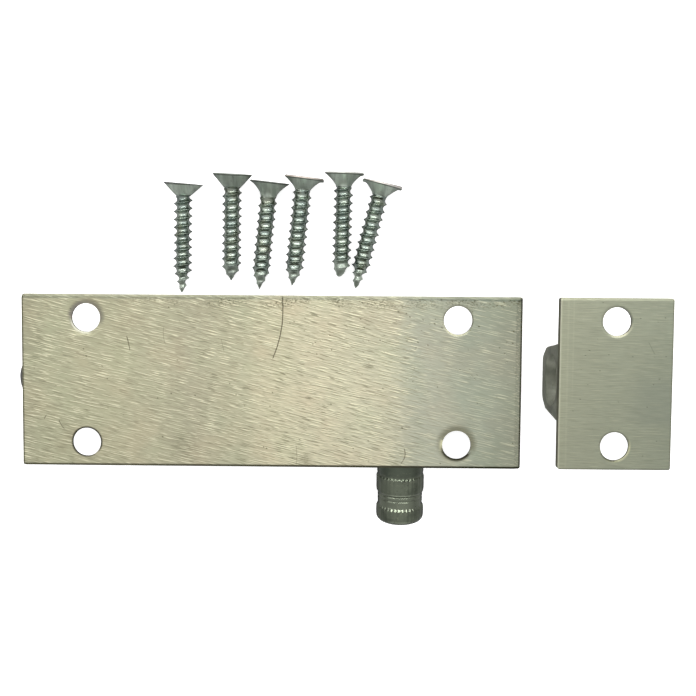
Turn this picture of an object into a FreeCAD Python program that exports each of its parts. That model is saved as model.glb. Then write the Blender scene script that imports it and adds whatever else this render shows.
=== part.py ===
import FreeCAD, Part
import math
import os
from FreeCAD import Vector

# Stair gate barrel bolt with its keeper and six loose wood screws, laid face down.
# Millimetres.  X runs along the bolt towards the keeper, Z out of the mounting faces.
# The origin is the centre of the base plate's screw pattern, on its mounting face.

# Plates
PLATE_LENGTH = 101.6
PLATE_HEIGHT = 35.0
PLATE_THICKNESS = 2.0
PLATE_CORNER_RADIUS = 0.5
BEVEL_DEPTH = 0.35
BASE_TOP_BEVEL = 0.9
BASE_END_BEVEL = 1.3
KEEPER_TOP_BEVEL = 0.55
KEEPER_LENGTH = 22.9
KEEPER_START = 58.4

# Screw holes, countersunk from the front face
HOLE_SPACING_X = 75.5
HOLE_SPACING_Y = 25.4
HOLE_RADIUS = 2.9
SINK_RADIUS = 4.3

# Ring lugs
LUG_THICKNESS = 3.0
LUG_CROWN_DEPTH = 16.8
LUG_BASE_HALF_WIDTH = 8.05
LUG_CROWN_HALF_WIDTH = 4.6
LUG_SHOULDER_DEPTH = 13.2
LUG_SHOULDER_HALF_WIDTH = 6.8
LUG_CORNER_RADIUS = 2.2
LUG_EDGE_BREAK = 0.25
GUIDE_BORE_RADIUS = 5.05
KEEPER_BORE_RADIUS = 5.45
MIDDLE_LUG_START = 18.3

# Bolt
AXIS_DEPTH = 8.3
ROD_RADIUS = 5.0
ROD_DOME_RADIUS = 6.5
ROD_REAR_TIP = -53.9
ROD_NOSE_TIP = 51.6
BOLT_TRAVEL = 15.0
STUD_HOLE_RADIUS = 2.55
STUD_HOLE_BOTTOM = -2.8

# Stop clip and its groove
CLIP_THICKNESS = 1.2
CLIP_OUTER_RADIUS = 7.0
CLIP_INNER_RADIUS = 4.05
CLIP_PLATE_GAP = 0.3
GROOVE_RADIUS = 4.0
GROOVE_CLEARANCE = 0.05
STOP_CLEARANCE = 0.2

# Knob, measured outwards from the rod axis
KNOB_X = 26.9
KNOB_DROOP_DEG = 6.5
KNOB_SEAT = 4.7
KNOB_NECK_RADIUS = 3.6
KNOB_NECK_END = 9.2
KNOB_RADIUS = 5.12
KNOB_WAIST_RADIUS = 4.8
KNOB_COLLAR_END = 20.5
KNOB_BAND_START = 20.85
KNOB_WAIST_START = 24.6
KNOB_WAIST_END = 27.7
KNOB_SHOULDER = 29.6
KNOB_TIP = 31.2
KNOB_HOLE_END = 16.0
KNURL_COUNT = 36
KNURL_DEPTH = 0.22

# Stud joining the knob to the rod
STUD_RADIUS = 2.5
STUD_START = -2.4
STUD_END = 15.4

# Countersunk wood screw
SCREW_LENGTH = 23.8
SCREW_HEAD_RADIUS = 4.15
SCREW_RIM = 0.35
SCREW_NECK_RADIUS = 1.7
SCREW_NECK_END = 3.6
SCREW_CORE_RADIUS = 1.38
SCREW_CREST_RADIUS = 2.08
SCREW_TAPER_START = 19.4
SCREW_PITCH = 1.7
SCREW_BLADE_INNER = 0.35
SCREW_BLADE_HALF_BASE = 0.48
SCREW_BLADE_HALF_CREST = 0.06
SCREW_HELIX_RADIUS = 1.3
SCREW_TURNS = 12
RECESS_DEPTH = 2.1
RECESS_HALF_WIDTH = 2.25
RECESS_BLADE = 0.9

# Head centre X and Y of each loose screw, and its heading in degrees from -Y towards +X
SCREW_LAYOUT = [
    (-20.22, 41.38, -1.9),
    (-9.69, 43.50, -1.5),
    (-1.62, 41.85, -6.3),
    (5.72, 42.98, -6.5),
    (14.29, 43.98, -1.5),
    (22.66, 41.86, -14.6),
]

X_AXIS = Vector(1, 0, 0)
Y_AXIS = Vector(0, 1, 0)
Z_AXIS = Vector(0, 0, 1)


def export(shape, node):
    if shape.ShapeType == "Compound" and len(shape.Solids) == 1:
        shape = shape.Solids[0]
    shape.exportStep("parts/" + node + ".step")


def prism(points, direction):
    wire = Part.makePolygon(points + [points[0]])
    return Part.Face(wire).extrude(direction)


def revolved(profile):
    """Solid of revolution about Z from (radius, height) points."""
    points = [Vector(radius, 0, height) for radius, height in profile]
    face = Part.Face(Part.makePolygon(points + [points[0]]))
    return face.revolve(Vector(0, 0, 0), Z_AXIS, 360)


def sunk_hole(x, y):
    """Through hole with a countersink opening on the front face."""
    depth = SINK_RADIUS - HOLE_RADIUS
    shaft = Part.makeCylinder(HOLE_RADIUS, PLATE_THICKNESS + 2, Vector(x, y, -PLATE_THICKNESS - 1))
    cone = Part.makeCone(
        SINK_RADIUS + 0.5, HOLE_RADIUS, depth + 0.5, Vector(x, y, -PLATE_THICKNESS - 0.5)
    )
    return shaft.fuse(cone)


def plate(start, length, holes, top_bevel, end_bevel):
    """Flat plate with bevelled back edges and countersunk holes."""
    half = PLATE_HEIGHT / 2
    end = start + length
    body = Part.makeBox(length, PLATE_HEIGHT, PLATE_THICKNESS, Vector(start, -half, -PLATE_THICKNESS))
    upright = []
    for edge in body.Edges:
        if edge.tangentAt(edge.FirstParameter).cross(Z_AXIS).Length < 1e-6:
            upright.append(edge)
    body = body.makeFillet(PLATE_CORNER_RADIUS, upright)
    for x, y in holes:
        body = body.cut(sunk_hole(x, y))
    top = [
        Vector(start - 1, half - top_bevel, 0.0),
        Vector(start - 1, half + top_bevel, -2 * BEVEL_DEPTH),
        Vector(start - 1, half + top_bevel, 1.0),
        Vector(start - 1, half - top_bevel, 1.0),
    ]
    body = body.cut(prism(top, X_AXIS * (length + 2)))
    if end_bevel > 0:
        side = [
            Vector(end - end_bevel, -half - 1, 0.0),
            Vector(end + end_bevel, -half - 1, -2 * BEVEL_DEPTH),
            Vector(end + end_bevel, -half - 1, 1.0),
            Vector(end - end_bevel, -half - 1, 1.0),
        ]
        body = body.cut(prism(side, Y_AXIS * (PLATE_HEIGHT + 2)))
    return body


def ring_lug(start, bore_radius):
    """Upright lug welded to the front face, bored for the bolt."""
    outline = [
        Vector(start, -LUG_BASE_HALF_WIDTH, -PLATE_THICKNESS),
        Vector(start, -LUG_SHOULDER_HALF_WIDTH, -LUG_SHOULDER_DEPTH),
        Vector(start, -LUG_CROWN_HALF_WIDTH, -LUG_CROWN_DEPTH),
        Vector(start, LUG_CROWN_HALF_WIDTH, -LUG_CROWN_DEPTH),
        Vector(start, LUG_SHOULDER_HALF_WIDTH, -LUG_SHOULDER_DEPTH),
        Vector(start, LUG_BASE_HALF_WIDTH, -PLATE_THICKNESS),
    ]
    body = prism(outline, X_AXIS * LUG_THICKNESS)
    corners = []
    for edge in body.Edges:
        along_x = edge.tangentAt(edge.FirstParameter).cross(X_AXIS).Length < 1e-6
        if along_x and edge.CenterOfMass.z < -PLATE_THICKNESS - 1:
            corners.append(edge)
    body = body.makeFillet(LUG_CORNER_RADIUS, corners)
    crown_face = -LUG_CROWN_DEPTH + 0.01
    rim = []
    for edge in body.Edges:
        in_plane = abs(edge.tangentAt(edge.FirstParameter).x) < 1e-6
        if in_plane and edge.BoundBox.ZMin < -PLATE_THICKNESS - 0.01 and edge.BoundBox.ZMin > crown_face - 1:
            rim.append(edge)
    body = body.makeChamfer(LUG_EDGE_BREAK, rim)
    bore = Part.makeCylinder(
        bore_radius, LUG_THICKNESS + 2, Vector(start - 1, 0, -AXIS_DEPTH), X_AXIS
    )
    body = body.cut(bore)
    for face_x, direction in ((start, 1), (start + LUG_THICKNESS, -1)):
        sink = Part.makeCone(
            bore_radius + LUG_EDGE_BREAK,
            bore_radius,
            LUG_EDGE_BREAK,
            Vector(face_x, 0, -AXIS_DEPTH),
            X_AXIS * direction,
        )
        body = body.cut(sink)
    return body


def to_knob_frame(shape):
    """Carry a shape built about +Z out to the knob's drooping axis."""
    shape.rotate(Vector(0, 0, 0), X_AXIS, 90 + KNOB_DROOP_DEG)
    shape.translate(Vector(KNOB_X, 0, -AXIS_DEPTH))
    return shape


def clip_position():
    """Left face of the clip at rest, one travel short of the middle lug."""
    return MIDDLE_LUG_START - BOLT_TRAVEL - STOP_CLEARANCE - CLIP_THICKNESS


def bolt_rod():
    straight = ROD_DOME_RADIUS - math.sqrt(ROD_DOME_RADIUS ** 2 - ROD_RADIUS ** 2)
    rear = Vector(ROD_REAR_TIP + ROD_DOME_RADIUS, 0, -AXIS_DEPTH)
    nose = Vector(ROD_NOSE_TIP - ROD_DOME_RADIUS, 0, -AXIS_DEPTH)
    length = ROD_NOSE_TIP - ROD_REAR_TIP
    full = Part.makeCylinder(ROD_RADIUS, length, Vector(ROD_REAR_TIP, 0, -AXIS_DEPTH), X_AXIS)
    half = length / 2
    rear_half = Part.makeCylinder(ROD_RADIUS, half, Vector(ROD_REAR_TIP, 0, -AXIS_DEPTH), X_AXIS)
    nose_start = Vector(ROD_REAR_TIP + half, 0, -AXIS_DEPTH)
    nose_half = Part.makeCylinder(ROD_RADIUS, half, nose_start, X_AXIS)
    rear_cap = Part.makeSphere(ROD_DOME_RADIUS, rear)
    nose_cap = Part.makeSphere(ROD_DOME_RADIUS, nose)
    core_start = Vector(ROD_REAR_TIP + straight, 0, -AXIS_DEPTH)
    core = Part.makeCylinder(ROD_RADIUS, length - 2 * straight, core_start, X_AXIS)
    body = core.fuse([rear_half.common(rear_cap), nose_half.common(nose_cap)])
    body = body.common(full).removeSplitter()
    groove_start = clip_position() - GROOVE_CLEARANCE
    groove_width = CLIP_THICKNESS + 2 * GROOVE_CLEARANCE
    groove_base = Vector(groove_start, 0, -AXIS_DEPTH)
    sleeve = Part.makeCylinder(ROD_RADIUS + 1, groove_width, groove_base, X_AXIS)
    sleeve = sleeve.cut(Part.makeCylinder(GROOVE_RADIUS, groove_width, groove_base, X_AXIS))
    body = body.cut(sleeve)
    seat = Part.makeCylinder(KNOB_NECK_RADIUS + 0.2, 3, Vector(0, 0, KNOB_SEAT))
    stud_hole = Part.makeCylinder(
        STUD_HOLE_RADIUS, KNOB_SEAT + 1 - STUD_HOLE_BOTTOM, Vector(0, 0, STUD_HOLE_BOTTOM)
    )
    return body.cut(to_knob_frame(seat.fuse(stud_hole)))


def stop_clip():
    """U-shaped clip pushed on from the plate side; the plate keeps it from turning."""
    start = clip_position()
    top = AXIS_DEPTH - PLATE_THICKNESS - CLIP_PLATE_GAP
    disc = Part.makeCylinder(CLIP_OUTER_RADIUS, CLIP_THICKNESS, Vector(0, 0, 0), X_AXIS)
    arms = Part.makeBox(CLIP_THICKNESS, 2 * CLIP_OUTER_RADIUS, top, Vector(0, -CLIP_OUTER_RADIUS, 0))
    keep = Part.makeBox(
        CLIP_THICKNESS,
        2 * CLIP_OUTER_RADIUS,
        CLIP_OUTER_RADIUS + top,
        Vector(0, -CLIP_OUTER_RADIUS, -CLIP_OUTER_RADIUS),
    )
    body = disc.fuse(arms).common(keep)
    mouth = Part.makeBox(
        CLIP_THICKNESS, 2 * CLIP_INNER_RADIUS, CLIP_OUTER_RADIUS, Vector(0, -CLIP_INNER_RADIUS, 0)
    )
    bore = Part.makeCylinder(CLIP_INNER_RADIUS, CLIP_THICKNESS, Vector(0, 0, 0), X_AXIS)
    body = body.cut(mouth.fuse(bore)).removeSplitter()
    body.translate(Vector(start, 0, -AXIS_DEPTH))
    return body


def knurled_band(start, end):
    """Straight-knurled sleeve, a star-shaped prism."""
    points = []
    for index in range(2 * KNURL_COUNT):
        angle = math.pi * index / KNURL_COUNT
        radius = KNOB_RADIUS if index % 2 == 0 else KNOB_RADIUS - KNURL_DEPTH
        points.append(Vector(radius * math.cos(angle), radius * math.sin(angle), start))
    return prism(points, Z_AXIS * (end - start))


def pull_knob():
    step = 0.3
    mid = (KNOB_WAIST_START + KNOB_WAIST_END) / 2
    profile = [
        (0, KNOB_SEAT),
        (KNOB_NECK_RADIUS, KNOB_SEAT),
        (KNOB_NECK_RADIUS, KNOB_NECK_END),
        (KNOB_RADIUS - step, KNOB_NECK_END),
        (KNOB_RADIUS, KNOB_NECK_END + step),
        (KNOB_RADIUS, KNOB_COLLAR_END - 0.15),
        (KNOB_RADIUS - 0.15, KNOB_COLLAR_END),
        (KNOB_WAIST_RADIUS, KNOB_BAND_START - 0.15),
        (KNOB_WAIST_RADIUS, KNOB_WAIST_START + 0.35),
        (KNOB_WAIST_RADIUS - 0.25, KNOB_WAIST_START + 0.6),
        (KNOB_WAIST_RADIUS, KNOB_WAIST_START + 0.85),
        (KNOB_WAIST_RADIUS, mid),
        (KNOB_WAIST_RADIUS - 0.25, mid + 0.25),
        (KNOB_WAIST_RADIUS, mid + 0.5),
        (KNOB_WAIST_RADIUS, KNOB_SHOULDER),
        (KNOB_WAIST_RADIUS - 0.2, KNOB_TIP - 0.9),
        (KNOB_WAIST_RADIUS - 1.2, KNOB_TIP),
        (0, KNOB_TIP),
    ]
    body = revolved(profile)
    first = knurled_band(KNOB_BAND_START, KNOB_WAIST_START)
    first_ends = revolved([
        (0, KNOB_BAND_START),
        (KNOB_WAIST_RADIUS, KNOB_BAND_START),
        (KNOB_RADIUS, KNOB_BAND_START + step),
        (KNOB_RADIUS, KNOB_WAIST_START - step),
        (KNOB_WAIST_RADIUS, KNOB_WAIST_START),
        (0, KNOB_WAIST_START),
    ])
    second = knurled_band(KNOB_WAIST_END, KNOB_TIP)
    tip_points = [(0, KNOB_WAIST_END), (KNOB_WAIST_RADIUS, KNOB_WAIST_END)]
    tip_points.append((KNOB_RADIUS, KNOB_WAIST_END + step))
    rounding = KNOB_TIP - KNOB_SHOULDER
    for index in range(7):
        angle = math.radians(15 * index)
        radius = KNOB_RADIUS - rounding + rounding * math.cos(angle)
        tip_points.append((radius, KNOB_SHOULDER + rounding * math.sin(angle)))
    tip_points.append((0, KNOB_TIP))
    second_ends = revolved(tip_points)
    body = body.common(revolved(envelope_points(tip_points)))
    body = body.fuse([first.common(first_ends), second.common(second_ends)])
    hole = Part.makeCylinder(
        STUD_HOLE_RADIUS, KNOB_HOLE_END - KNOB_SEAT + 1, Vector(0, 0, KNOB_SEAT - 1)
    )
    return to_knob_frame(body.cut(hole))


def envelope_points(tip_points):
    """Outer envelope of the whole knob, sharing the rounded tip."""
    lower = [(0, KNOB_SEAT - 1), (KNOB_RADIUS, KNOB_SEAT - 1)]
    return lower + tip_points[2:]


def knob_stud():
    chamfer = 0.5
    return to_knob_frame(revolved([
        (0, STUD_START),
        (STUD_RADIUS - chamfer, STUD_START),
        (STUD_RADIUS, STUD_START + chamfer),
        (STUD_RADIUS, STUD_END - chamfer),
        (STUD_RADIUS - chamfer, STUD_END),
        (0, STUD_END),
    ]))


def wood_screw():
    """Countersunk screw along -Z with its head face at Z = 0."""
    neck_depth = SCREW_RIM + SCREW_HEAD_RADIUS - SCREW_NECK_RADIUS
    shank = revolved([
        (0, 0),
        (SCREW_HEAD_RADIUS, 0),
        (SCREW_HEAD_RADIUS, -SCREW_RIM),
        (SCREW_NECK_RADIUS, -neck_depth),
        (SCREW_NECK_RADIUS, -SCREW_NECK_END),
        (SCREW_CORE_RADIUS, -SCREW_NECK_END - 0.4),
        (SCREW_CORE_RADIUS, -SCREW_TAPER_START),
        (0.08, -SCREW_LENGTH),
        (0, -SCREW_LENGTH),
    ])
    helix = Part.makeHelix(SCREW_PITCH, SCREW_TURNS * SCREW_PITCH, SCREW_HELIX_RADIUS)
    profile = [
        Vector(SCREW_BLADE_INNER, 0, -SCREW_BLADE_HALF_BASE),
        Vector(SCREW_CORE_RADIUS, 0, -SCREW_BLADE_HALF_BASE),
        Vector(SCREW_CREST_RADIUS + 0.05, 0, -SCREW_BLADE_HALF_CREST),
        Vector(SCREW_CREST_RADIUS + 0.05, 0, SCREW_BLADE_HALF_CREST),
        Vector(SCREW_CORE_RADIUS, 0, SCREW_BLADE_HALF_BASE),
        Vector(SCREW_BLADE_INNER, 0, SCREW_BLADE_HALF_BASE),
    ]
    section = Part.makePolygon(profile + [profile[0]])
    blade = Part.Wire(helix.Edges).makePipeShell([section], True, True)
    blade.translate(Vector(0, 0, -SCREW_LENGTH + 0.4))
    envelope = revolved([
        (0, -SCREW_NECK_END),
        (SCREW_NECK_RADIUS - 0.2, -SCREW_NECK_END),
        (SCREW_CREST_RADIUS, -SCREW_NECK_END - 1.4),
        (SCREW_CREST_RADIUS, -SCREW_TAPER_START),
        (0.12, -SCREW_LENGTH),
        (0, -SCREW_LENGTH),
    ])
    body = shank.fuse(blade.common(envelope))
    for angle in (0, 90):
        slot = [
            Vector(-RECESS_HALF_WIDTH, -RECESS_BLADE / 2, 0.5),
            Vector(RECESS_HALF_WIDTH, -RECESS_BLADE / 2, 0.5),
            Vector(0.6, -RECESS_BLADE / 2, -RECESS_DEPTH),
            Vector(-0.6, -RECESS_BLADE / 2, -RECESS_DEPTH),
        ]
        cutter = prism(slot, Y_AXIS * RECESS_BLADE)
        cutter.rotate(Vector(0, 0, 0), Z_AXIS, angle)
        body = body.cut(cutter)
    return body


def laid_screw(screw, x, y, heading):
    """Rest a screw on its head rim and thread crests, its tip heading as given."""
    rise = SCREW_HEAD_RADIUS - SCREW_CREST_RADIUS
    tilt = math.atan(rise / (SCREW_TAPER_START - SCREW_RIM))
    shape = screw.copy()
    shape.rotate(Vector(0, 0, 0), Z_AXIS, 23 * heading)
    shape.rotate(Vector(0, 0, 0), X_AXIS, math.degrees(tilt) - 90)
    shape.rotate(Vector(0, 0, 0), Z_AXIS, heading)
    head_height = SCREW_HEAD_RADIUS * math.cos(tilt) + SCREW_RIM * math.sin(tilt)
    shape.translate(Vector(x, y, -LUG_CROWN_DEPTH + head_height))
    return shape


os.makedirs("parts", exist_ok=True)

base_holes = []
for side_x in (-1, 1):
    for side_y in (-1, 1):
        base_holes.append((side_x * HOLE_SPACING_X / 2, side_y * HOLE_SPACING_Y / 2))
keeper_middle = KEEPER_START + KEEPER_LENGTH / 2
keeper_holes = [(keeper_middle, -HOLE_SPACING_Y / 2), (keeper_middle, HOLE_SPACING_Y / 2)]
half_length = PLATE_LENGTH / 2

export(plate(-half_length, PLATE_LENGTH, base_holes, BASE_TOP_BEVEL, BASE_END_BEVEL), "base_plate")
export(ring_lug(-half_length, GUIDE_BORE_RADIUS), "rear_guide_lug")
export(ring_lug(MIDDLE_LUG_START, GUIDE_BORE_RADIUS), "middle_guide_lug")
export(ring_lug(half_length - LUG_THICKNESS, GUIDE_BORE_RADIUS), "front_guide_lug")
export(stop_clip(), "stop_clip")
export(bolt_rod(), "bolt_rod")
export(pull_knob(), "pull_knob")
export(knob_stud(), "knob_stud")
export(plate(KEEPER_START, KEEPER_LENGTH, keeper_holes, KEEPER_TOP_BEVEL, 0), "keeper_plate")
export(ring_lug(KEEPER_START, KEEPER_BORE_RADIUS), "keeper_lug")

screw = wood_screw()
for number, placed in enumerate(SCREW_LAYOUT, start=1):
    export(laid_screw(screw, *placed), "screw_%d" % number)
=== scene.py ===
import math

import bpy
import numpy as np
from mathutils import Euler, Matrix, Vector


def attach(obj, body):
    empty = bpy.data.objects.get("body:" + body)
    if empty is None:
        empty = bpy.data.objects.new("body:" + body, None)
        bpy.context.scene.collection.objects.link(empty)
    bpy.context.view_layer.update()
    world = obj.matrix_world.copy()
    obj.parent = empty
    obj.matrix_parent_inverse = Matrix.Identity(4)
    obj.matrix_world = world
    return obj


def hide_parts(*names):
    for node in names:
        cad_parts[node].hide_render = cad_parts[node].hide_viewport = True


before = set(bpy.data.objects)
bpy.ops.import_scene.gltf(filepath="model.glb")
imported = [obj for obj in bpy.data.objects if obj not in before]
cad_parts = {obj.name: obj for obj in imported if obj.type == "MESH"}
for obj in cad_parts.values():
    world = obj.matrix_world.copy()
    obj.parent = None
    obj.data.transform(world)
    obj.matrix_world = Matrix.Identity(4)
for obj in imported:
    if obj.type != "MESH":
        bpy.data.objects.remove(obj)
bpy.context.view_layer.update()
MM = 0.001
PER_METRE = 1000.0

# The table that the lugs' crowns and the screws lie on, in metres
FLOOR_Z = -0.0168

# Places of the plates and their holes, in mm
PLATE_LENGTH = 101.6
KEEPER_START = 58.4
KEEPER_LENGTH = 22.9
KEEPER_X = 69.85
HOLE_X = 37.75
HOLE_Y = 12.7
HOLE_RADIUS = 2.9


# ---------------------------------------------------------------- colours and node graphs

def linear(r, g, b):
    """sRGB values from 0 to 255 as linear values."""
    out = []
    for v in (r, g, b):
        v = v / 255.0
        out.append(v / 12.92 if v <= 0.04045 else ((v + 0.055) / 1.055) ** 2.4)
    return out


class Graph:
    """A material's node tree, built with short calls."""

    def __init__(self, name):
        self.material = bpy.data.materials.new(name)
        self.material.use_nodes = True
        self.tree = self.material.node_tree
        self.tree.nodes.clear()
        self.output = self.add("ShaderNodeOutputMaterial")
        self.shader = self.add("ShaderNodeBsdfPrincipled")
        self.link(self.shader.outputs["BSDF"], self.output.inputs["Surface"])
        coords = self.add("ShaderNodeTexCoord")
        scale = self.add("ShaderNodeVectorMath", operation="SCALE")
        self.link(coords.outputs["Object"], scale.inputs[0])
        scale.inputs["Scale"].default_value = PER_METRE
        self.mm = scale.outputs[0]
        split = self.add("ShaderNodeSeparateXYZ")
        self.link(self.mm, split.inputs[0])
        self.x, self.y = split.outputs[0], split.outputs[1]

    def add(self, kind, **settings):
        node = self.tree.nodes.new(kind)
        for key, value in settings.items():
            setattr(node, key, value)
        return node

    def link(self, source, target):
        if isinstance(source, (int, float)):
            target.default_value = source
        elif isinstance(source, (tuple, list)):
            target.default_value = tuple(source) + (1.0,) * (len(target.default_value) - len(source))
        else:
            self.tree.links.new(source, target)

    def math(self, operation, a, b=0.0):
        node = self.add("ShaderNodeMath", operation=operation)
        for socket, value in zip(node.inputs, (a, b)):
            self.link(value, socket)
        return node.outputs[0]

    def centred(self, value):
        """A noise value moved to lie about 0."""
        return self.math("SUBTRACT", value, 0.5)

    def times(self, *values):
        out = values[0]
        for value in values[1:]:
            out = self.math("MULTIPLY", out, value)
        return out

    def plus(self, *values):
        out = values[0]
        for value in values[1:]:
            out = self.math("ADD", out, value)
        return out

    def step(self, value, low, high):
        """0 at low, 1 at high, smooth between; low may be the larger."""
        node = self.add("ShaderNodeMapRange", interpolation_type="SMOOTHSTEP")
        self.link(value, node.inputs["Value"])
        if low < high:
            node.inputs["From Min"].default_value = low
            node.inputs["From Max"].default_value = high
        else:
            node.inputs["From Min"].default_value = high
            node.inputs["From Max"].default_value = low
            node.inputs["To Min"].default_value = 1.0
            node.inputs["To Max"].default_value = 0.0
        return node.outputs[0]

    def grain_space(self, angle, along, across):
        """Coordinates turned by angle degrees and stretched, for noise along a brushing direction."""
        node = self.add("ShaderNodeMapping")
        self.link(self.mm, node.inputs["Vector"])
        node.inputs["Rotation"].default_value = (0, 0, math.radians(angle))
        return self.stretched(node.outputs[0], (along, across, across))

    def stretched(self, vector, factors):
        node = self.add("ShaderNodeVectorMath", operation="MULTIPLY")
        self.link(vector, node.inputs[0])
        node.inputs[1].default_value = factors
        return node.outputs[0]

    def shifted(self, vector, x, y=0.0, z=0.0):
        node = self.add("ShaderNodeVectorMath", operation="ADD")
        self.link(vector, node.inputs[0])
        node.inputs[1].default_value = (x, y, z)
        return node.outputs[0]

    def noise(self, vector, scale=1.0, detail=2.0, rough=0.5, distortion=0.0):
        node = self.add("ShaderNodeTexNoise")
        self.link(vector, node.inputs["Vector"])
        node.inputs["Scale"].default_value = scale
        node.inputs["Detail"].default_value = detail
        node.inputs["Roughness"].default_value = rough
        node.inputs["Distortion"].default_value = distortion
        return node.outputs[0]

    def spots(self, vector, scale, radius):
        """Round dots in scattered cells: 1 inside a dot."""
        node = self.add("ShaderNodeTexVoronoi")
        self.link(vector, node.inputs["Vector"])
        node.inputs["Scale"].default_value = scale
        return self.step(node.outputs["Distance"], radius, radius * 0.5)

    def ramp(self, value, stops):
        """A smooth colour ramp through (place, colour) stops."""
        node = self.add("ShaderNodeValToRGB")
        node.color_ramp.interpolation = "EASE"
        elements = node.color_ramp.elements
        while len(elements) < len(stops):
            elements.new(0.5)
        for element, (place, colour) in zip(elements, stops):
            element.position = place
            element.color = tuple(colour) + (1.0,)
        self.link(value, node.inputs[0])
        return node.outputs[0]

    def mix(self, fac, a, b, blend="MIX"):
        node = self.add("ShaderNodeMix", data_type="RGBA", blend_type=blend)
        self.link(fac, node.inputs[0])
        self.link(a, node.inputs[6])
        self.link(b, node.inputs[7])
        return node.outputs[2]

    def filtered(self, colour, factors):
        """A colour with its channels multiplied by three factors."""
        return self.mix(1.0, colour, factors, "MULTIPLY")

    def dim(self, colour, factor):
        node = self.add("ShaderNodeVectorMath", operation="SCALE")
        self.link(colour, node.inputs[0])
        self.link(factor, node.inputs["Scale"])
        return node.outputs[0]

    def bump(self, height_mm):
        node = self.add("ShaderNodeBump")
        self.link(height_mm, node.inputs["Height"])
        node.inputs["Distance"].default_value = MM
        node.inputs["Strength"].default_value = 1.0
        return node.outputs[0]

    def from_point(self, cx, cy):
        """Distance in mm from the vertical line at cx, cy."""
        dx = self.math("SUBTRACT", self.x, cx)
        dy = self.math("SUBTRACT", self.y, cy)
        return self.math("SQRT", self.plus(self.times(dx, dx), self.times(dy, dy)))

    def scratch(self, points, width):
        """A thin wavering mark along the parabola x(y) through three points, at any depth."""
        (x0, y0), (x1, y1), (x2, y2) = points
        c2, c1, c0 = np.polyfit([y0, y1, y2], [x0, x1, x2], 2)
        path = self.plus(c0, self.times(c1, self.y), self.times(c2, self.times(self.y, self.y)))
        wiggle = self.times(0.16, self.centred(self.noise(self.mm, 1.1, 1)))
        off = self.math("ABSOLUTE", self.math("SUBTRACT", self.plus(self.x, wiggle), path))
        low, high = min(y0, y2), max(y0, y2)
        ends = self.times(self.step(self.y, low - 0.2, low + 0.3),
                          self.step(self.y, high + 0.2, high - 0.3))
        return self.times(self.step(off, width, width * 0.35), ends)

    def finish(self, colour, roughness, height_mm, metallic=1.0):
        self.link(colour, self.shader.inputs["Base Color"])
        self.link(roughness, self.shader.inputs["Roughness"])
        self.link(metallic, self.shader.inputs["Metallic"])
        self.link(self.bump(height_mm), self.shader.inputs["Normal"])
        return self.material


def spread(graph, value, amount):
    """1 + amount at value 1, 1 - amount at value 0."""
    return graph.plus(1.0 - amount, graph.times(2.0 * amount, value))


# ---------------------------------------------------------------- brushed plates

# How far each plate is dimmed to meet the studio light
PLATE_GAIN = 0.88
KEEPER_GAIN = 0.815

# A hole's dished rim ends just inside its edge
DISH_OUTER = 2.8
DISH_INNER = 2.85


def tint(r, g, b, gain=1.0):
    """sRGB values from 0 to 255 as a linear colour, made brighter or darker by a gain."""
    return [min(1.0, v * gain) for v in linear(r, g, b)]


def brushed(graph, angle, strength, light_amount, dark_amount):
    """Streaks along the brushing: tone factor, light hairlines, dark hairlines, fine noise."""
    wide = graph.noise(graph.grain_space(angle, 0.10, 0.9), 1.0, 3, 0.55)
    fine = graph.noise(graph.shifted(graph.grain_space(angle, 0.28, 5.0), 7, 3), 1.0, 2, 0.62, 0.15)
    lines = graph.grain_space(angle - 1, 0.25, 5.4)
    hair = graph.noise(graph.shifted(lines, 31, 11), 1.0, 1, 0.5, 0.1)
    under = graph.noise(graph.shifted(lines, 31.1, 12.1), 1.0, 1, 0.5, 0.1)
    crossing = graph.grain_space(angle + 2, 0.30, 4.6)
    cut = graph.noise(graph.shifted(crossing, 77, 53), 1.0, 1, 0.5, 0.15)
    factor = graph.plus(1.0, graph.times(strength, graph.plus(
        graph.times(0.30, graph.centred(wide)),
        graph.times(0.95, graph.centred(fine)))))
    patch_noise = graph.noise(graph.shifted(graph.mm, 9, 33), 0.42, 2, 0.6)
    patches = graph.plus(0.35, graph.times(1.3, patch_noise))
    light = graph.times(strength, light_amount, patches, graph.step(hair, 0.56, 0.65))
    dark = graph.times(strength, dark_amount, graph.math(
        "MAXIMUM", graph.step(cut, 0.42, 0.33), graph.times(0.7, graph.step(under, 0.57, 0.66))))
    return factor, light, dark, fine


def crescents(graph, colour, marks):
    """Painted highlight and painted shade in arcs beside holes, where a rim rolls over.

    Each mark has the hole's centre, the arc's direction in degrees, how far it reaches past the
    rim, the cosine at which it starts, its amount and its colour.
    """
    for cx, cy, direction, reach, starts_at, amount, shade in marks:
        near = graph.from_point(cx, cy)
        dx = graph.math("SUBTRACT", graph.x, cx)
        dy = graph.math("SUBTRACT", graph.y, cy)
        angle = math.radians(direction)
        along = graph.plus(graph.times(math.cos(angle), dx), graph.times(math.sin(angle), dy))
        facing = graph.math("DIVIDE", along, near)
        ragged = graph.times(0.5, graph.centred(graph.noise(graph.mm, 1.6, 2)))
        arc = graph.step(graph.plus(facing, ragged), starts_at, min(1.0, starts_at + 0.45))
        fall = graph.step(near, HOLE_RADIUS + reach, HOLE_RADIUS + 0.15 * reach)
        colour = graph.mix(graph.times(amount, arc, fall), colour, shade)
    return colour


def dish(graph, cx, cy, reach):
    """1 in a hole, falling to 0 at a reach past its rim."""
    return graph.step(graph.from_point(cx, cy), DISH_OUTER + reach, DISH_INNER)


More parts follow.
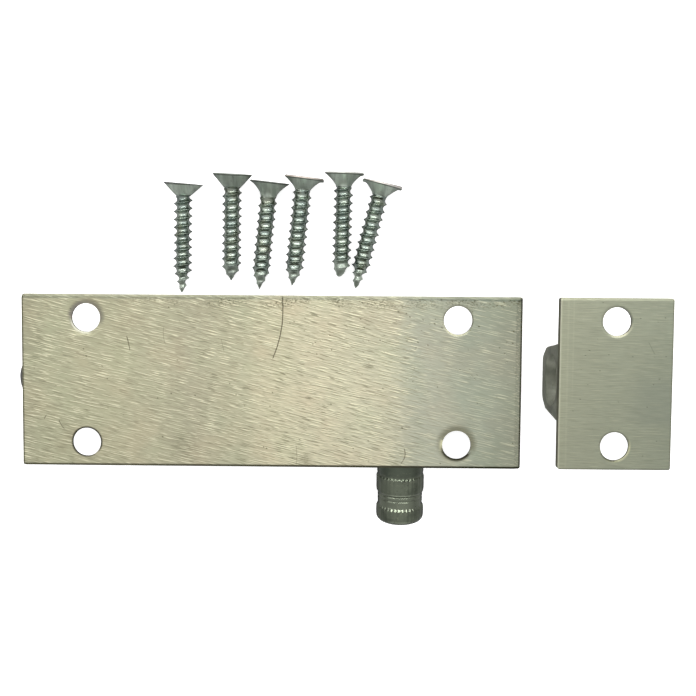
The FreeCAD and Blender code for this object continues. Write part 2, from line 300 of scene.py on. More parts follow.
def base_plate_material():
    g = Graph("base_plate_brushed")
    place = g.math("DIVIDE", g.plus(g.x, PLATE_LENGTH / 2), PLATE_LENGTH)
    tone = g.ramp(place, [
        (0.00, tint(170, 168, 142)), (0.06, tint(179, 178, 150)), (0.18, tint(182, 179, 151)),
        (0.26, tint(183, 180, 153)), (0.34, tint(180, 176, 151)), (0.42, tint(184, 182, 155)),
        (0.50, tint(203, 197, 168)), (0.60, tint(206, 201, 173)), (0.72, tint(199, 196, 170)),
        (0.80, tint(180, 181, 162)), (0.90, tint(162, 167, 149)), (1.00, tint(150, 153, 135)),
    ])
    # painted shade: the upper half darkened towards the top edge, by up to 11 %, to even out the light
    tone = g.dim(tone, g.plus(1.0, g.times(-0.11, g.step(g.y, 0.0, 15.0))))
    clouds = g.noise(g.mm, 0.075, 3, 0.55)
    hue = g.noise(g.shifted(g.mm, 40, 9), 0.11, 2, 0.5)
    tone = g.mix(g.times(0.55, g.step(hue, 0.45, 0.7)), tone,
                 g.filtered(tone, [1.06, 0.985, 0.97]))
    tone = g.mix(g.times(0.55, g.step(hue, 0.5, 0.3)), tone,
                 g.filtered(tone, [0.955, 0.995, 0.96]))
    strength = g.ramp(place, [
        (0.0, (0.75,) * 3), (0.25, (0.62,) * 3), (0.42, (0.8,) * 3), (0.58, (1.0,) * 3),
        (0.74, (0.9,) * 3), (0.84, (0.38,) * 3), (1.0, (0.3,) * 3)])
    patchy = g.plus(0.55, g.times(0.9, g.noise(g.shifted(g.mm, 5, 70), 0.16, 2, 0.5)))
    strength = g.times(strength, patchy)
    factor, light, dark, fine = brushed(g, 13.0, strength, 0.95, 0.72)
    colour = g.dim(tone, g.times(factor, spread(g, clouds, 0.09)))
    colour = g.mix(light, colour, tint(242, 238, 206))
    colour = g.mix(dark, colour, tint(120, 118, 94))

    # grime just under the top bevel, and pits scattered over the upper middle
    band = g.times(g.step(g.y, 14.2, 16.2), g.step(g.y, 17.5, 16.5), g.step(g.x, -44.0, -6.0))
    specks = g.step(g.noise(g.grain_space(4, 2.0, 3.4), 1.0, 2, 0.65), 0.47, 0.60)
    grime = g.times(band, specks, g.step(g.noise(g.grain_space(0, 0.16, 0.5), 1.0, 2), 0.36, 0.60))
    cluster = g.times(g.step(g.noise(g.shifted(g.mm, 3, 3), 0.16, 2), 0.48, 0.60),
                      g.step(g.x, -8.0, 14.0), g.step(g.y, -6.0, 9.0))
    pits = g.times(g.spots(g.grain_space(15, 0.85, 1.5), 0.80, 0.20), cluster)
    chosen = g.step(g.noise(g.shifted(g.mm, 60, 20), 0.22, 2), 0.52, 0.60)
    low_pits = g.times(g.spots(g.shifted(g.grain_space(40, 0.9, 1.3), 9, 4), 0.55, 0.13), chosen)
    stain_a = g.times(g.step(g.from_point(-17.9, -13.2), 4.2, 0.6), g.noise(g.mm, 1.3, 3, 0.6))
    stain_b = g.times(g.step(g.from_point(6.8, -16.0), 2.0, 0.3), g.noise(g.mm, 1.8, 2, 0.6))
    stain_c = g.times(g.step(g.from_point(-42.5, -12.8), 5.5, 1.0), g.noise(g.mm, 0.5, 2, 0.5))
    dirt = g.plus(g.times(0.75, grime), g.times(0.8, pits), g.times(0.65, low_pits),
                  g.times(0.42, stain_a), g.times(0.8, stain_b), g.times(0.22, stain_c))
    colour = g.mix(g.math("MINIMUM", dirt, 0.85), colour, tint(92, 90, 66))

    marks = g.plus(
        g.scratch([(2.1, 17.4), (1.9, 10.3), (0.2, 4.6)], 0.13),
        g.times(0.8, g.scratch([(-29.4, 9.0), (-29.1, 7.6), (-28.8, 6.1)], 0.12)),
        g.times(0.35, g.scratch([(-21.9, 10.9), (-22.0, 9.2), (-21.6, 7.4)], 0.10)),
        g.times(0.3, g.scratch([(-10.2, 8.6), (-10.0, 7.4), (-9.7, 6.0)], 0.10)),
        g.times(0.6, g.scratch([(27.1, -13.5), (27.3, -15.0), (26.4, -16.8)], 0.16)),
        g.times(0.35, g.scratch([(5.0, -13.0), (5.2, -15.0), (5.1, -17.0)], 0.10)),
        g.times(0.7, g.scratch([(-43.4, -8.3), (-43.0, -9.2), (-42.2, -10.2)], 0.13)),
        g.times(0.6, g.scratch([(-45.9, -7.2), (-46.2, -7.6), (-46.4, -8.1)], 0.14)))
    colour = g.mix(g.math("MINIMUM", marks, 0.8), colour, tint(84, 78, 60))

    # painted shade: dark lines where the bottom, right and left edges turn away, and a darker top bevel;
    # a painted highlight line, broken by noise, on the top bevel
    rim = g.math("MAXIMUM", g.times(g.plus(0.90, g.times(0.002, g.x)), g.step(g.y, -16.98, -17.16)),
                 g.math("MAXIMUM", g.times(0.85, g.step(g.x, 50.3, 50.54)),
                        g.times(0.7, g.step(g.x, -50.38, -50.6))))
    colour = g.mix(rim, colour, tint(48, 48, 36))
    bevel = g.step(g.y, 16.5, 16.7)
    colour = g.mix(g.times(0.85, bevel), colour, g.filtered(colour, [0.43, 0.46, 0.47]))
    # painted highlight along the top bevel, broken by noise
    worn = g.times(g.step(g.y, 16.9, 17.2), g.plus(0.2, g.noise(g.grain_space(0, 0.5, 2.0), 1.0, 2)))
    colour = g.mix(g.times(0.3, worn), colour, tint(206, 206, 178))

    # dished rims of the four holes: a shallow bump, and painted shade around each rim
    height = g.times(0.010, g.centred(fine))
    shade = 0.0
    for cx, cy, depth, reach, dark_rim in (
            (-HOLE_X, HOLE_Y, 0.10, 1.3, 0.26), (-HOLE_X, -HOLE_Y, 0.03, 0.5, 0.25),
            (HOLE_X, HOLE_Y, 0.04, 0.7, 0.10), (HOLE_X, -HOLE_Y, 0.12, 1.9, 0.22)):
        fall = dish(g, cx, cy, reach)
        height = g.plus(height, g.times(-depth, fall))
        shade = g.plus(shade, g.times(dark_rim, fall))
    colour = g.mix(shade, colour, tint(128, 126, 108))
    # painted highlight and painted shade crescents beside the holes
    colour = crescents(g, colour, [
        (-HOLE_X, HOLE_Y, 80, 1.2, -0.35, 0.72, tint(118, 114, 104)),
        (-HOLE_X, HOLE_Y, 170, 0.7, 0.2, 0.6, tint(128, 124, 118)),
        (-HOLE_X, HOLE_Y, 240, 0.55, 0.45, 0.8, tint(236, 236, 214)),
        (-HOLE_X, -HOLE_Y, 60, 0.5, -0.3, 1.0, tint(52, 50, 40)),
        (-HOLE_X, -HOLE_Y, 200, 0.35, -0.5, 0.8, tint(74, 72, 58)),
        (HOLE_X, HOLE_Y, 265, 0.5, 0.45, 0.6, tint(222, 220, 186)),
        (HOLE_X, HOLE_Y, 75, 0.35, -0.5, 0.7, tint(96, 96, 82)),
        (HOLE_X, -HOLE_Y, 70, 1.6, -0.25, 0.62, tint(112, 110, 88)),
        (HOLE_X, -HOLE_Y, 205, 1.5, 0.45, 0.45, tint(120, 118, 94)),
        (HOLE_X, -HOLE_Y, 182, 0.9, 0.85, 0.8, tint(222, 220, 182)),
        (HOLE_X, -HOLE_Y, 262, 0.75, 0.15, 1.0, tint(58, 56, 42))])
    height = g.plus(height, g.times(-0.05, marks), g.times(-0.05, pits), g.times(0.035, clouds))
    rough = g.plus(0.40, g.times(0.14, g.centred(fine)), g.times(0.10, dirt))
    return g.finish(g.dim(colour, PLATE_GAIN), rough, height)


def keeper_plate_material():
    g = Graph("keeper_plate_brushed")
    across = g.math("DIVIDE", g.math("SUBTRACT", g.x, KEEPER_START), KEEPER_LENGTH)
    tone = g.ramp(across, [(0.0, tint(163, 165, 143)), (0.12, tint(160, 163, 142)),
                           (0.55, tint(155, 159, 139)), (1.0, tint(150, 155, 136))])
    clouds = g.noise(g.shifted(g.mm, 12, 3), 0.10, 3, 0.55)
    factor, light, dark, fine = brushed(g, 0.5, 0.50, 0.42, 0.36)
    colour = g.dim(tone, g.times(factor, spread(g, clouds, 0.08)))
    colour = g.mix(light, colour, tint(196, 196, 168))
    colour = g.mix(dark, colour, tint(116, 118, 99))
    dull = g.times(g.step(g.x, 70.5, 77.0), g.step(g.y, 3.0, -1.0), g.step(g.y, -9.5, -7.0))
    colour = g.mix(g.times(0.4, dull), colour, tint(136, 142, 128))
    weld = g.times(g.step(g.math("ABSOLUTE", g.math("SUBTRACT", g.x, 60.0)), 0.32, 0.05),
                   g.noise(g.grain_space(0, 2.0, 0.9), 1.0, 3, 0.6))
    weld_b = g.times(g.step(g.math("ABSOLUTE", g.math("SUBTRACT", g.x, 61.1)), 0.22, 0.03),
                     g.step(g.y, -8.0, 3.5), g.noise(g.grain_space(0, 2.0, 1.2), 1.0, 3, 0.6))
    colour = g.mix(g.times(0.3, g.plus(weld, weld_b)), colour, tint(188, 190, 164))
    pits = g.times(g.spots(g.shifted(g.grain_space(0, 0.9, 1.3), 4, 8), 0.45, 0.10), 0.45)
    colour = g.mix(pits, colour, tint(84, 86, 70))
    mark = g.scratch([(76.3, 8.6), (76.9, 7.4), (77.6, 6.1)], 0.14)
    colour = g.mix(g.times(0.35, mark), colour, tint(96, 96, 80))
    # painted highlight along the top edge
    top = g.step(g.y, 16.75, 17.05)
    colour = g.mix(g.times(0.30, top), colour, tint(180, 181, 156))
    left = g.times(g.step(g.x, 58.85, 58.5), g.plus(0.3, g.noise(g.grain_space(90, 0.5, 2.0), 1.0, 2)))
    colour = g.mix(g.times(0.55, left), colour, tint(214, 214, 190))
    # painted shade along the bottom and right edges
    rim = g.math("MAXIMUM", g.step(g.y, -17.1, -17.42), g.times(0.7, g.step(g.x, 80.9, 81.2)))
    colour = g.mix(g.times(0.65, rim), colour, tint(92, 95, 80))
    # painted highlight and painted shade crescents beside the two holes
    colour = crescents(g, colour, [
        (KEEPER_X, HOLE_Y, 300, 0.55, 0.45, 0.75, tint(226, 224, 194)),
        (KEEPER_X, HOLE_Y, 20, 0.5, 0.2, 0.6, tint(98, 102, 90)),
        (KEEPER_X, HOLE_Y, 150, 0.4, -0.1, 0.5, tint(110, 112, 98)),
        (KEEPER_X, -HOLE_Y, 310, 0.6, 0.1, 0.7, tint(206, 206, 168)),
        (KEEPER_X, -HOLE_Y, 90, 0.4, -0.2, 0.6, tint(100, 102, 88)),
        (KEEPER_X, -HOLE_Y, 245, 0.5, 0.75, 0.9, tint(60, 62, 50))])
    height = g.times(0.012, g.centred(fine))
    for cx, cy, depth, reach in ((KEEPER_X, HOLE_Y, 0.05, 0.7), (KEEPER_X, -HOLE_Y, 0.03, 0.5)):
        height = g.plus(height, g.times(-depth, dish(g, cx, cy, reach)))
    height = g.plus(height, g.times(-0.04, pits), g.times(0.03, clouds))
    rough = g.plus(0.42, g.times(0.16, g.centred(fine)))
    return g.finish(g.dim(colour, KEEPER_GAIN), rough, height)


# ---------------------------------------------------------------- smaller steel parts

def plain_steel(name, colour, light, rough, grain=(0.9, 0.9, 0.9), depth=0.006,
                painted_shade_end=None, metallic=1.0):
    """Satin or plated steel with cloudy tone, fine grain, specks and small dents.

    It carries painted shade where x is below the end value given, if any.
    """
    g = Graph(name)
    fine = g.noise(g.stretched(g.mm, grain), 3.2, 3, 0.6)
    clouds = g.noise(g.shifted(g.mm, 8, 2, 5), 0.35, 3, 0.55)
    base = g.mix(g.step(clouds, 0.35, 0.68), colour, light)
    base = g.dim(base, g.times(spread(g, fine, 0.16), spread(g, clouds, 0.10)))
    pits = g.times(0.3, g.spots(g.shifted(g.mm, 3, 9, 1), 0.8, 0.16))
    base = g.mix(pits, base, [v * 0.35 for v in colour])
    worn = g.step(g.noise(g.shifted(g.mm, 1, 4, 7), 1.3, 3, 0.6), 0.60, 0.74)
    base = g.mix(g.times(0.25, worn), base, [min(1.0, v * 1.35) for v in light])
    # painted shade beyond the given end
    if painted_shade_end is not None:
        base = g.mix(g.times(0.85, g.step(g.x, painted_shade_end + 0.6, painted_shade_end)), base, tint(46, 48, 42))
    height = g.plus(g.times(depth, g.centred(fine)), g.times(-0.03, pits),
                    g.times(0.02, clouds))
    roughness = g.plus(rough, g.times(0.12, g.centred(clouds)), g.times(0.15, pits))
    return g.finish(base, roughness, height, metallic)


def screw_material(name, shift, axis, origin, head, length, rim, rim_light_shade_colour, tone):
    """Zinc plated steel: grey green with glossy threads and a satin cone and tip, with a painted
    highlight on the rim line of light-rimmed heads and painted shade on the others, and painted shade
    just under the rim and at the neck.
    """
    g = Graph(name)
    run = g.add("ShaderNodeVectorMath", operation="DOT_PRODUCT")
    g.link(g.mm, run.inputs[0])
    run.inputs[1].default_value = tuple(axis)
    depth = g.math("SUBTRACT", run.outputs["Value"], float(np.dot(axis, origin)))
    span = g.add("ShaderNodeVectorMath", operation="DISTANCE")
    g.link(g.mm, span.inputs[0])
    span.inputs[1].default_value = tuple(origin)
    away = span.outputs["Value"]
    radial = g.math("SQRT", g.math("SUBTRACT", g.times(away, away), g.times(depth, depth)))
    cone = g.times(g.step(depth, 0.05, 0.2), g.step(depth, head + 0.1, head - 0.5))
    neck = g.times(g.step(depth, head - 0.4, head + 0.1), g.step(depth, head + 1.5, head + 0.8))
    point = g.step(depth, length - 4.6, length - 2.6)
    satin = g.math("MAXIMUM", cone, g.times(0.9, point))
    at = g.shifted(g.mm, shift, shift * 0.7, 0)
    clouds = g.noise(at, 0.45, 3, 0.6)
    fine = g.noise(at, 4.5, 2, 0.6)
    base = g.mix(g.step(clouds, 0.38, 0.66), tint(138, 150, 143), tint(164, 174, 162))
    warm = g.step(g.noise(g.shifted(at, 50, 0), 0.30, 2, 0.5), 0.52, 0.70)
    base = g.mix(g.times(0.35, warm), base, tint(150, 148, 122))
    base = g.dim(base, spread(g, fine, 0.14))
    drawn = g.step(g.noise(g.grain_space(0, 1.3, 0.16), 1.0, 2, 0.6), 0.3, 0.7)
    base = g.mix(g.times(satin, 0.85), base, g.dim(tint(160, 170, 158, tone), spread(g, drawn, 0.24)))
    # painted shade at the neck under the head
    base = g.dim(base, g.plus(1.0, g.times(-0.22, neck)))
    # painted light and shade on the rim line: each screw's colour is light or dark
    rim_light_shade_mask = g.times(g.step(radial, 3.75, 3.95), g.step(depth, rim + 0.10, rim - 0.02))
    base = g.mix(g.times(0.8, rim_light_shade_mask), base, rim_light_shade_colour)
    # painted shade in a band just under the rim
    under = g.times(g.step(depth, rim, rim + 0.12), g.step(depth, rim + 0.34, rim + 0.2))
    base = g.mix(g.times(0.75, under), base, tint(66, 66, 62))
    pits = g.times(0.5, g.spots(at, 1.1, 0.16))
    base = g.mix(pits, base, tint(60, 66, 60))
    height = g.plus(g.times(0.0006, g.centred(fine)), g.times(0.006, clouds),
                    g.times(-0.01, pits))
    rough = g.plus(0.11, g.times(0.06, clouds), g.times(0.1, pits), g.times(0.18, satin))
    return g.finish(base, rough, height, g.plus(1.0, g.times(-0.4, satin)))


# ---------------------------------------------------------------- loose screws as threaded meshes

HEAD_RADIUS = 4.22
CORE_RADIUS = 1.45
PITCH = 1.68
AROUND = 48
RING_STEP = 0.068
HEAD_RINGS = 14
FACE_RINGS = 26
FACE_START = 0.12
FACE_SPAN = 3.78
RUN_IN = 0.9
RIDGE_HALF_WIDTH = 0.84
RIDGE_POWER = 2.3

# A screw lies on its rim and on the crest where its thread starts to taper, as in the CAD
CAD_HEAD_RADIUS = 4.15
CAD_CREST_RADIUS = 2.08
CAD_RIM = 0.35
CAD_TAPER_START = 19.4
SCREW_TILT = math.atan((CAD_HEAD_RADIUS - CAD_CREST_RADIUS) / (CAD_TAPER_START - CAD_RIM))

# The cross recess, in mm: depth, length and half width of an arm, and how its sides slope
RECESS_DEPTH = 1.9
RECESS_REACH = 2.25
RECESS_ARM = 0.50
RECESS_WALL = 0.12
RECESS_SLOPE = 1.5

# Tip shapes: core radius against distance back from the point
DRAWN = [(0.0, 0.10), (0.5, 0.42), (1.3, 0.66), (2.9, 0.74), (3.8, 1.05), (4.9, CORE_RADIUS)]
CONE = [(0.0, 0.08), (1.0, 0.62), (2.0, 1.15), (2.7, 1.42), (3.4, CORE_RADIUS)]
SLIM = [(0.0, 0.08), (1.0, 0.46), (2.3, 0.92), (4.0, CORE_RADIUS)]
BLUNT = [(0.0, 0.30), (0.35, 0.66), (1.1, 0.98), (2.4, CORE_RADIUS)]

# Core and crest radius of each thread
THREADS = {1: (1.32, 2.06), 2: (1.52, 2.16), 3: (1.50, 2.04),
           4: (1.54, 2.14), 5: (1.46, 2.16), 6: (1.46, 2.10)}

# Rim thickness and lean of each head
RIMS = {1: (0.12, 0.044), 2: (0.22, 0.022), 3: (0.16, 0.0),
        4: (0.34, 0.0), 5: (0.26, 0.0), 6: (0.34, -0.04)}

# Brightness of each head's satin cone
HEAD_TONES = {1: 1.16, 2: 0.92, 3: 0.98, 4: 1.06, 5: 1.06, 6: 1.14}

# Colour of each head's rim line: a painted highlight where light, painted shade where dark
RIM_LIGHT_SHADE = {1: tint(70, 74, 70), 2: tint(150, 156, 148), 3: tint(84, 88, 82),
        4: tint(214, 200, 190), 5: tint(206, 206, 198), 6: tint(216, 208, 202)}

# x, y, heading, length, crest depth on the left, neck radius, head height, flare, tip, tip drift
SCREWS = [
    (-20.22, 41.38, -1.9, 23.55, 6.15, 1.46, 2.75, 1.0, DRAWN, -0.10),
    (-9.69, 43.50, -1.5, 22.95, 6.58, 1.66, 3.10, 1.0, CONE, 0.0),
    (-1.62, 41.85, -6.3, 23.30, 7.07, 1.66, 3.45, 1.75, SLIM, 0.05),
    (5.72, 42.98, -6.5, 23.62, 8.61, 1.60, 3.05, 1.45, SLIM, -0.05),
    (14.29, 43.98, -1.5, 22.45, 9.10, 1.62, 3.20, 1.55, BLUNT, -0.40),
    (22.66, 41.86, -14.6, 23.50, 8.65, 1.56, 3.05, 1.35, DRAWN, 0.15),
]

# Burrs on the rims: screw, angle in degrees, half width, outward mm, towards the tip mm
BURRS = [
    (4, 4, 7, 0.16, 0.75), (4, -14, 5, 0.05, 0.35), (5, 3, 5, 0.10, 0.55), (5, 20, 6, -0.15, 0.1),
    (6, 6, 6, 0.10, 0.65), (6, 172, 8, 0.16, 0.60), (6, 30, 5, -0.18, 0.1), (6, 150, 6, -0.16, 0.0),
    (2, 160, 5, -0.08, 0.1), (3, 176, 6, 0.06, 0.2), (1, 60, 6, -0.08, 0.05),
]


def unit(value):
    """A value held between 0 and 1."""
    return min(1.0, max(0.0, value))


def radius_at(back, tip):
    """Core radius at a distance back from the point."""
    return float(np.interp(back, [b for b, _ in tip], [r for _, r in tip]))


def screw_profile(number, length, crest, neck, head, flare, tip, drift):
    """Angles round the screw, and (depth, radii, sideways drift) of each ring from rim to point."""
    angles = np.linspace(0, 2 * math.pi, AROUND, endpoint=False)
    rim = RIMS[number][0]
    rings = []
    for k in range(HEAD_RINGS + 1):
        t = k / HEAD_RINGS
        depth = rim + 0.04 + (head - rim - 0.04) * t
        radius = neck + (HEAD_RADIUS - 0.02 - neck) * (1 - t) ** flare
        rings.append((depth, np.full(AROUND, radius), 0.0))
    start = head + 0.06
    steps = int((length - start) / RING_STEP)
    turn = (angles - math.pi) / (2 * math.pi)
    core_radius, crest_radius = THREADS[number]
    for k in range(steps + 1):
        depth = start + (length - start) * k / steps
        back = length - depth
        blend = unit((depth - head) / RUN_IN)
        core = min(radius_at(back, tip) * core_radius / CORE_RADIUS, neck + (core_radius - neck) * blend)
        full = (crest_radius - core_radius) * unit((depth - head + 0.35) / RUN_IN)
        full *= unit((back - 0.5) / 2.6) ** 0.7
        phase = (depth - crest) / PITCH - turn
        off = np.abs(phase - np.round(phase)) * PITCH
        ridge = np.clip(1 - off / RIDGE_HALF_WIDTH, 0, 1) ** RIDGE_POWER
        ridge = ridge * (1 + 0.05 * np.sin(7.3 * np.round(phase) + number + 2 * angles))
        lean = drift * max(0.0, (4.0 - back) / 4.0) ** 2
        rings.append((depth, core + full * ridge, lean))
    return angles, rings


def recess_depth(u, v):
    """Depth of the cross recess at a point of the head face, in mm."""
    u, v = abs(u), abs(v)
    wall = unit((RECESS_ARM - min(u, v)) / RECESS_WALL)
    slope = unit((RECESS_REACH - max(u, v)) / RECESS_SLOPE)
    return RECESS_DEPTH * wall * slope


def burrs_on(number, angles):
    """How far each point of a screw's rim is pushed outward and towards the tip."""
    rim_out = np.zeros(AROUND)
    rim_down = np.zeros(AROUND)
    for owner, centre, half, outward, down in BURRS:
        if owner == number:
            apart = np.abs((np.degrees(angles) - centre + 180) % 360 - 180)
            bell = np.exp(-(apart / half) ** 2)
            rim_out += outward * bell
            rim_down += down * bell
    return rim_out, rim_down


def skin(faces, a, b, around):
    """Quads between two rings of points, which start at a and b."""
    for i in range(around):
        j = (i + 1) % around
        faces.append((a + i, a + j, b + j, b + i))


def smooth_piece(name, points, faces, material):
    """A smooth-shaded mesh object with one material."""
    mesh = bpy.data.meshes.new(name)
    mesh.from_pydata([tuple(p) for p in points], [], faces)
    mesh.validate()
    mesh.update()
    mesh.polygons.foreach_set("use_smooth", [True] * len(mesh.polygons))
    mesh.materials.append(material)
    piece = bpy.data.objects.new(name, mesh)
    bpy.context.scene.collection.objects.link(piece)
    return piece


def make_screw(number, x, y, heading, length, crest, neck, head, flare, tip, drift):
    angles, rings = screw_profile(number, length, crest, neck, head, flare, tip, drift)
    h = math.radians(heading)
    t = SCREW_TILT
    axis = np.array([math.sin(h) * math.cos(t), -math.cos(h) * math.cos(t), -math.sin(t)])
    right = np.array([math.cos(h), math.sin(h), 0.0])
    up = np.cross(axis, right)
    lift = HEAD_RADIUS * math.cos(t) + CAD_RIM * math.sin(t)
    origin = np.array([x, y, FLOOR_Z * PER_METRE + lift])
    rim_out, rim_down = burrs_on(number, angles)
    points, faces = [], []
    rim, skew = RIMS[number]

    def ring(depth, radial, lean=0.0):
        """Adds one ring of points and returns the first one's number."""
        first = len(points)
        for a, r, d in zip(angles, np.broadcast_to(radial, AROUND), np.broadcast_to(depth, AROUND)):
            d = d + skew * r * math.cos(a) * max(0.0, 1 - d / 3.0)
            p = origin + axis * d + right * (r * math.cos(a) + lean) + up * (r * math.sin(a))
            points.append(p * MM)
        return first

    spin = 0.5 * number
    starts = []
    for k in range(FACE_RINGS + 1):
        r = FACE_START + FACE_SPAN * (k / FACE_RINGS)
        depths = [0.02 + 0.05 * (r / CAD_HEAD_RADIUS) ** 6
                  + recess_depth(r * math.cos(a + spin), r * math.sin(a + spin)) for a in angles]
        starts.append(ring(np.array(depths), r))
    starts.append(ring(0.05, HEAD_RADIUS - 0.05 - 0.45 * rim + rim_out * 0.7))
    starts.append(ring(0.05 + 0.30 * rim, HEAD_RADIUS - 0.03 - 0.22 * rim + rim_out * 0.9))
    starts.append(ring(0.05 + 0.60 * rim + 0.25 * rim_down, HEAD_RADIUS + rim_out))
    starts.append(ring(rim + 0.5 * rim_down, HEAD_RADIUS + rim_out))
    for index, (depth, radial, lean) in enumerate(rings):
        fade = max(0.0, 1 - index / 3.0)
        starts.append(ring(depth + rim_down * fade * 0.8, radial + rim_out * fade, lean))
    for a, b in zip(starts, starts[1:]):
        skin(faces, a, b, AROUND)
    faces.append(tuple(range(AROUND))[::-1])
    last = starts[-1]
    faces.append(tuple(last + i for i in range(AROUND)))
    zinc = screw_material("screw_zinc_%d" % number, 13.0 * number, axis, origin,
                          head, length, rim, RIM_LIGHT_SHADE[number], HEAD_TONES[number])
    piece = smooth_piece("screw_%d_body" % number, points, faces, zinc)
    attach(piece, "screw_%d_loose" % number)
    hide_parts("screw_%d" % number)


# ---------------------------------------------------------------- pull knob with worn knurling

KNOB_ORIGIN = np.array([26.9, 0.0, -8.3])
KNOB_DROOP = math.radians(6.5)
KNOB_AROUND = 216
KNURLS = 36

# Distance from the rod's axis, radius and knurl depth, section by section
NECK = [(4.7, 0.0, 0), (4.7, 3.6, 0), (9.1, 3.6, 0), (9.3, 4.6, 0), (9.7, 5.0, 0)]
COLLAR = [(14.0, 5.02, 0), (19.6, 5.0, 0), (20.1, 4.98, 0), (20.4, 4.92, 0)]
FIRST_BAND = [(20.58, 4.91, 0.04), (20.7, 4.95, 0.14), (20.95, 5.07, 0.18), (21.15, 5.12, 0.10),
              (22.2, 5.12, 0.05), (23.7, 5.12, 0.05), (24.25, 5.07, 0.04), (24.5, 4.95, 0.02)]
WAIST = [(24.68, 4.82, 0), (24.8, 4.715, 0), (24.86, 4.705, 0), (24.94, 4.73, 0), (25.12, 4.81, 0),
         (25.22, 4.82, 0), (25.6, 4.79, 0), (25.72, 4.715, 0), (25.78, 4.705, 0), (25.86, 4.73, 0),
         (26.03, 4.81, 0), (26.15, 4.81, 0), (27.1, 4.78, 0)]
SECOND_BAND = [(27.26, 4.80, 0.04), (27.4, 4.86, 0.13), (27.72, 5.03, 0.17), (27.9, 5.11, 0.10),
               (28.3, 5.12, 0.05), (29.6, 5.12, 0.05)]
ROUNDED_END = [(30.1, 5.06, 0.05), (30.5, 4.88, 0.05), (30.85, 4.56, 0.04), (31.05, 4.20, 0.03),
               (31.17, 3.80, 0), (31.2, 3.4, 0), (31.2, 0.0, 0)]
KNOB_PROFILE = NECK + COLLAR + FIRST_BAND + WAIST + SECOND_BAND + ROUNDED_END
PROFILE_STEP = 0.12


def knob_material():
    """Dark plating with painted shade at the collar and a painted highlight tint at the waist, with pits
    and rubbed spots.
    """
    g = Graph("knob_plated")
    clouds = g.noise(g.shifted(g.mm, 8, 2, 5), 0.40, 3, 0.55)
    fine = g.noise(g.mm, 5.0, 2, 0.6)
    base = g.mix(g.step(clouds, 0.36, 0.66), tint(84, 90, 78), tint(102, 108, 94))
    base = g.dim(base, g.plus(0.93, g.times(0.14, fine)))
    # painted shade at the collar, under the plate's edge
    collar = g.step(g.y, -21.1, -20.3)
    base = g.mix(g.times(0.7, collar), base, tint(72, 79, 69))
    # painted highlight tint over the waist
    waist = g.times(g.step(g.y, -24.3, -24.8), g.step(g.y, -28.3, -27.6))
    base = g.mix(g.times(0.6, waist), base, tint(120, 126, 111))
    pits = g.times(0.5, g.spots(g.shifted(g.mm, 3, 9, 1), 1.0, 0.16))
    base = g.mix(pits, base, tint(44, 48, 40))
    rub = g.step(g.noise(g.shifted(g.mm, 1, 4, 7), 1.6, 3, 0.6), 0.58, 0.72)
    base = g.mix(g.times(0.3, rub), base, tint(140, 142, 120))
    height = g.plus(g.times(0.003, g.centred(fine)), g.times(-0.02, pits),
                    g.times(0.015, clouds))
    rough = g.plus(0.14, g.times(0.10, clouds), g.times(0.1, pits))
    return g.finish(base, rough, height)


def make_knob():
    """The knob, turned about its own axis, with worn knurls cut into the two bands."""
    keys = np.array(KNOB_PROFILE)
    path = np.concatenate([[0], np.cumsum(np.hypot(np.diff(keys[:, 0]), np.diff(keys[:, 1])))])
    dense = np.unique(np.concatenate([path, np.arange(0, path[-1], PROFILE_STEP)]))
    along, radius, cut = (np.interp(dense, path, keys[:, i]) for i in range(3))
    axis = np.array([0, -math.cos(KNOB_DROOP), -math.sin(KNOB_DROOP)])
    right = np.array([1.0, 0, 0])
    up = np.cross(axis, right)
    angles = np.linspace(0, 2 * math.pi, KNOB_AROUND, endpoint=False)
    wave = np.abs(np.sin(angles * KNURLS / 2)) ** 0.7
    worn = 1 + 0.35 * np.sin(angles * 5 + 1.0) + 0.25 * np.sin(angles * 11)
    points, faces, starts = [], [], []
    for d, r, c in zip(along[1:-1], radius[1:-1], cut[1:-1]):
        starts.append(len(points))
        ring = r - c * worn * (1 - wave)
        for a, q in zip(angles, ring):
            points.append((KNOB_ORIGIN + axis * d + right * q * math.cos(a) + up * q * math.sin(a)) * MM)
    for a, b in zip(starts, starts[1:]):
        skin(faces, a, b, KNOB_AROUND)
    for first, d, flip in ((starts[0], along[0], False), (starts[-1], along[-1], True)):
        centre = len(points)
        points.append((KNOB_ORIGIN + axis * d) * MM)
        for i in range(KNOB_AROUND):
            j = (i + 1) % KNOB_AROUND
            faces.append((centre, first + i, first + j) if flip else (centre, first + j, first + i))
    piece = smooth_piece("pull_knob_body", points, faces, knob_material())
    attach(piece, "bolt")
    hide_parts("pull_knob")


make_knob()


# ---------------------------------------------------------------- dressing the CAD nodes

def dress(node, material):
    """Gives a CAD node its material."""
    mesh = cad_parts[node].data
    mesh.materials.clear()
    mesh.materials.append(material)


lug_material = plain_steel("lug_satin", tint(142, 145, 132), tint(160, 162, 148), 0.42,
                           grain=(1.4, 1.4, 0.5), metallic=0.62)
dress("base_plate", base_plate_material())
dress("keeper_plate", keeper_plate_material())
for lug in ("rear_guide_lug", "middle_guide_lug", "front_guide_lug", "keeper_lug"):
    dress(lug, lug_material)
# the rod's end past x = -51, beyond the plate's left edge, has painted shade
dress("bolt_rod", plain_steel("bolt_turned", tint(112, 114, 102), tint(138, 140, 126), 0.28,
                              grain=(5.0, 0.7, 0.7), depth=0.004, painted_shade_end=-51.0))
dress("knob_stud", plain_steel("stud_plated", tint(104, 108, 98), tint(120, 124, 112), 0.34))
dress("stop_clip", plain_steel("clip_satin", tint(126, 128, 116), tint(146, 147, 132), 0.36,
                               grain=(0.8, 2.4, 0.8)))
for number, row in enumerate(SCREWS, start=1):
    make_screw(number, *row)


# ---------------------------------------------------------------- floor, backdrop, light, camera

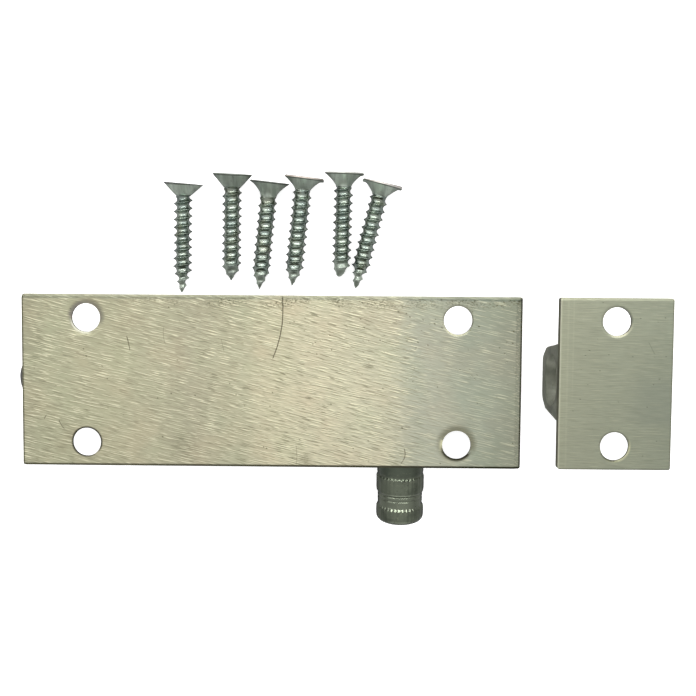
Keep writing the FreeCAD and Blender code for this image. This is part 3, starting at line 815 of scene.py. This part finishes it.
# Brightness of the surroundings from straight below (0) to straight above (1)
SKY = [(0.0, 0.05), (0.10, 0.16), (0.19, 0.60), (0.44, 0.62), (0.55, 0.57), (0.76, 0.80), (1.0, 1.0)]

LIGHT_TARGET = (0.01, 0.01, -0.005)


def pale(name, glow, albedo):
    """Matt white with a glow of its own."""
    material = bpy.data.materials.new(name)
    material.use_nodes = True
    tree = material.node_tree
    shader = tree.nodes["Principled BSDF"]
    shader.inputs["Base Color"].default_value = (albedo, albedo, albedo, 1)
    shader.inputs["Roughness"].default_value = 0.9
    shader.inputs["Specular IOR Level"].default_value = 0.0
    shader.inputs["Emission Color"].default_value = (1, 1, 1, 1)
    shader.inputs["Emission Strength"].default_value = glow
    return material


bpy.ops.mesh.primitive_circle_add(vertices=96, radius=2.5, fill_type="NGON",
                                  location=(0, 0, FLOOR_Z - 0.0001))
floor = bpy.context.object
floor.name = "floor"
floor.data.materials.append(pale("floor_pale", 0.72, 0.8))
floor.visible_glossy = False

bpy.ops.mesh.primitive_uv_sphere_add(segments=48, ring_count=24, radius=2.45, location=(0, 0, 0))
backdrop = bpy.context.object
backdrop.name = "backdrop"
backdrop.data.materials.append(pale("backdrop_pale", 1.06, 0.0))
backdrop.visible_glossy = False
backdrop.visible_diffuse = False
backdrop.visible_shadow = False
backdrop.visible_transmission = False

world = bpy.data.worlds.new("studio")
bpy.context.scene.world = world
world.use_nodes = True
tree = world.node_tree
background = tree.nodes["Background"]
coords = tree.nodes.new("ShaderNodeTexCoord")
split = tree.nodes.new("ShaderNodeSeparateXYZ")
tree.links.new(coords.outputs["Generated"], split.inputs[0])
levels = tree.nodes.new("ShaderNodeMapRange")
tree.links.new(split.outputs[2], levels.inputs["Value"])
levels.inputs["From Min"].default_value = -1.0
levels.inputs["From Max"].default_value = 1.0
sky = tree.nodes.new("ShaderNodeValToRGB")
tree.links.new(levels.outputs[0], sky.inputs[0])
while len(sky.color_ramp.elements) < len(SKY):
    sky.color_ramp.elements.new(0.5)
for element, (place, value) in zip(sky.color_ramp.elements, SKY):
    element.position = place
    element.color = (value, value, value, 1)
tree.links.new(sky.outputs[0], background.inputs["Color"])
background.inputs["Strength"].default_value = 1.0


def softbox(name, place, width, height, radiance):
    """A rectangular light aimed at the middle of the part."""
    light = bpy.data.lights.new(name, "AREA")
    light.shape = "RECTANGLE"
    light.size = width
    light.size_y = height
    light.energy = radiance * math.pi * width * height
    lamp = bpy.data.objects.new(name, light)
    lamp.location = place
    direction = Vector(LIGHT_TARGET) - Vector(place)
    lamp.rotation_euler = direction.to_track_quat("-Z", "Y").to_euler()
    bpy.context.scene.collection.objects.link(lamp)


softbox("key_high", (0.02, 0.30, 0.61), 0.95, 0.07, 13.0)
softbox("key_low", (0.02, 0.62, 0.32), 0.95, 0.11, 5.0)
softbox("fill_left", (-0.55, 0.10, 0.45), 0.34, 0.34, 0.9)
softbox("fill_low", (0.0, -0.65, 0.10), 1.10, 0.26, 0.8)

# The photo's camera: its place in metres, its turns in degrees
camera_data = bpy.data.cameras.new("photo_camera")
camera_data.lens = 46.796
camera_data.sensor_width = 36.0
camera_data.clip_start = 0.01
camera = bpy.data.objects.new("photo_camera", camera_data)
camera.location = (0.016883, 0.017628, 0.183120)
camera.rotation_mode = "ZYX"
turns = [math.radians(turn) for turn in (-3.3409, 0.4333, 0.4613)]
camera.rotation_euler = Euler(turns, "ZYX")
bpy.context.scene.collection.objects.link(camera)
bpy.context.scene.camera = camera
bpy.context.scene.view_settings.view_transform = "Standard"
